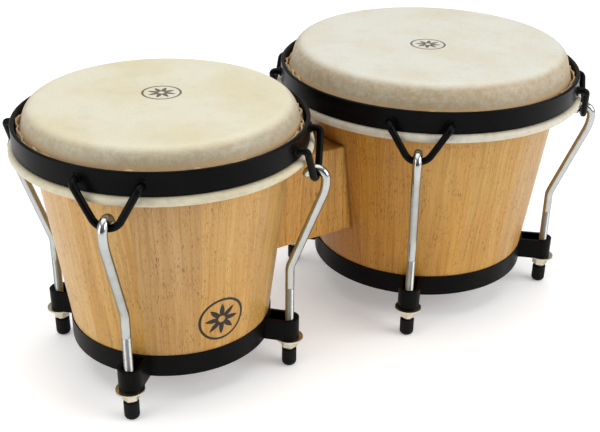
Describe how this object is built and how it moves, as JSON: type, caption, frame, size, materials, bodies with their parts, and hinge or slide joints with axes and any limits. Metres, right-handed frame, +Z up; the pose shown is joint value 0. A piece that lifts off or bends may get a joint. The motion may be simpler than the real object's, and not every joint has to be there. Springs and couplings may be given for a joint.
{
  "type": "bongo drums",
  "caption": "Pair of joined hand drums with coopered wooden shells, natural skin heads, black rims and tuning rods that double as feet.",
  "frame": {"origin": "on the floor, at the middle of the pair's bounding box in X and Y", "axes": "+X from the small drum to the large drum, -Y towards the player's front in the picture, +Z up through the heads"},
  "size_m": [0.4232, 0.222, 0.1883],
  "materials": {
    "macho_wood": "clear satin lacquer",
    "hembra_wood": "clear satin lacquer",
    "block_wood": "clear satin lacquer",
    "macho_hide": "natural rawhide",
    "hembra_hide": "natural rawhide",
    "black_steel": "black powder coat",
    "black_casting": "black powder coat on cast metal",
    "chrome": "polished",
    "nut_plating": "zinc plated, slightly yellow",
    "bare_steel": "zinc plated",
    "rubber": "matt"
  },
  "bodies": {
    "frame": {"macho_shell": "macho_wood", "macho_skin": "macho_hide", "macho_bottom_ring": "black_casting", "hembra_shell": "hembra_wood", "hembra_skin": "hembra_hide", "hembra_bottom_ring": "black_casting", "block_macho_side": "block_wood", "block_hembra_side": "block_wood", "block_bolt_lower": "bare_steel", "block_washer_macho_lower": "bare_steel", "block_washer_hembra_lower": "bare_steel", "block_nut_lower": "bare_steel", "block_bolt_upper": "bare_steel", "block_washer_macho_upper": "bare_steel", "block_washer_hembra_upper": "bare_steel", "block_nut_upper": "bare_steel"},
    "macho_tension": {"macho_flesh_ring": "bare_steel", "macho_rim": "black_steel", "macho_loop_front_left": "black_steel", "macho_hook_front_left": "chrome", "macho_cap_front_left": "rubber", "macho_loop_front_right": "black_steel", "macho_hook_front_right": "chrome", "macho_cap_front_right": "rubber", "macho_loop_back_right": "black_steel", "macho_hook_back_right": "chrome", "macho_cap_back_right": "rubber", "macho_loop_back_left": "black_steel", "macho_hook_back_left": "chrome", "macho_cap_back_left": "rubber"},
    "macho_nut_front_left_turning": {"macho_nut_front_left": "nut_plating"},
    "macho_nut_front_right_turning": {"macho_nut_front_right": "nut_plating"},
    "macho_nut_back_right_turning": {"macho_nut_back_right": "nut_plating"},
    "macho_nut_back_left_turning": {"macho_nut_back_left": "nut_plating"},
    "hembra_tension": {"hembra_flesh_ring": "bare_steel", "hembra_rim": "black_steel", "hembra_loop_front_left": "black_steel", "hembra_hook_front_left": "chrome", "hembra_cap_front_left": "rubber", "hembra_loop_front_right": "black_steel", "hembra_hook_front_right": "chrome", "hembra_cap_front_right": "rubber", "hembra_loop_back_right": "black_steel", "hembra_hook_back_right": "chrome", "hembra_cap_back_right": "rubber", "hembra_loop_back_left": "black_steel", "hembra_hook_back_left": "chrome", "hembra_cap_back_left": "rubber"},
    "hembra_nut_front_left_turning": {"hembra_nut_front_left": "nut_plating"},
    "hembra_nut_front_right_turning": {"hembra_nut_front_right": "nut_plating"},
    "hembra_nut_back_right_turning": {"hembra_nut_back_right": "nut_plating"},
    "hembra_nut_back_left_turning": {"hembra_nut_back_left": "nut_plating"}
  },
  "joints": [
    {"name": "macho_tension_slide", "type": "slide", "parent": "frame", "child": "macho_tension", "axis": [0, 0, -1], "range_m": [-0.0012, 0.003], "deforming": ["macho_skin"]},
    {"name": "macho_nut_front_left_turn", "type": "hinge", "parent": "frame", "child": "macho_nut_front_left_turning", "pos_m": [-0.17557, -0.05752, 0.01525], "axis": [0, 0, 1], "range_deg": [-440, 1090]},
    {"name": "macho_nut_front_right_turn", "type": "hinge", "parent": "frame", "child": "macho_nut_front_right_turning", "pos_m": [-0.05828, -0.05977, 0.01525], "axis": [0, 0, 1], "range_deg": [-440, 1090]},
    {"name": "macho_nut_back_right_turn", "type": "hinge", "parent": "frame", "child": "macho_nut_back_right_turning", "pos_m": [-0.05603, 0.05752, 0.01525], "axis": [0, 0, 1], "range_deg": [-440, 1090]},
    {"name": "macho_nut_back_left_turn", "type": "hinge", "parent": "frame", "child": "macho_nut_back_left_turning", "pos_m": [-0.17332, 0.05977, 0.01525], "axis": [0, 0, 1], "range_deg": [-440, 1090]},
    {"name": "hembra_tension_slide", "type": "slide", "parent": "frame", "child": "hembra_tension", "axis": [0, 0, -1], "range_m": [-0.0012, 0.003], "deforming": ["hembra_skin"]},
    {"name": "hembra_nut_front_left_turn", "type": "hinge", "parent": "frame", "child": "hembra_nut_front_left_turning", "pos_m": [0.03467, -0.07271, 0.01525], "axis": [0, 0, 1], "range_deg": [-440, 1090]},
    {"name": "hembra_nut_front_right_turn", "type": "hinge", "parent": "frame", "child": "hembra_nut_front_right_turning", "pos_m": [0.17331, -0.06593, 0.01525], "axis": [0, 0, 1], "range_deg": [-440, 1090]},
    {"name": "hembra_nut_back_right_turn", "type": "hinge", "parent": "frame", "child": "hembra_nut_back_right_turning", "pos_m": [0.16653, 0.07271, 0.01525], "axis": [0, 0, 1], "range_deg": [-440, 1090]},
    {"name": "hembra_nut_back_left_turn", "type": "hinge", "parent": "frame", "child": "hembra_nut_back_left_turning", "pos_m": [0.02789, 0.06593, 0.01525], "axis": [0, 0, 1], "range_deg": [-440, 1090]}
  ],
  "couplings": [
    {"joint": "macho_nut_front_left_turn", "follows": "macho_tension_slide", "rad_per_m": 6283.2},
    {"joint": "macho_nut_front_right_turn", "follows": "macho_tension_slide", "rad_per_m": 6283.2},
    {"joint": "macho_nut_back_right_turn", "follows": "macho_tension_slide", "rad_per_m": 6283.2},
    {"joint": "macho_nut_back_left_turn", "follows": "macho_tension_slide", "rad_per_m": 6283.2},
    {"joint": "hembra_nut_front_left_turn", "follows": "hembra_tension_slide", "rad_per_m": 6283.2},
    {"joint": "hembra_nut_front_right_turn", "follows": "hembra_tension_slide", "rad_per_m": 6283.2},
    {"joint": "hembra_nut_back_right_turn", "follows": "hembra_tension_slide", "rad_per_m": 6283.2},
    {"joint": "hembra_nut_back_left_turn", "follows": "hembra_tension_slide", "rad_per_m": 6283.2}
  ]
}
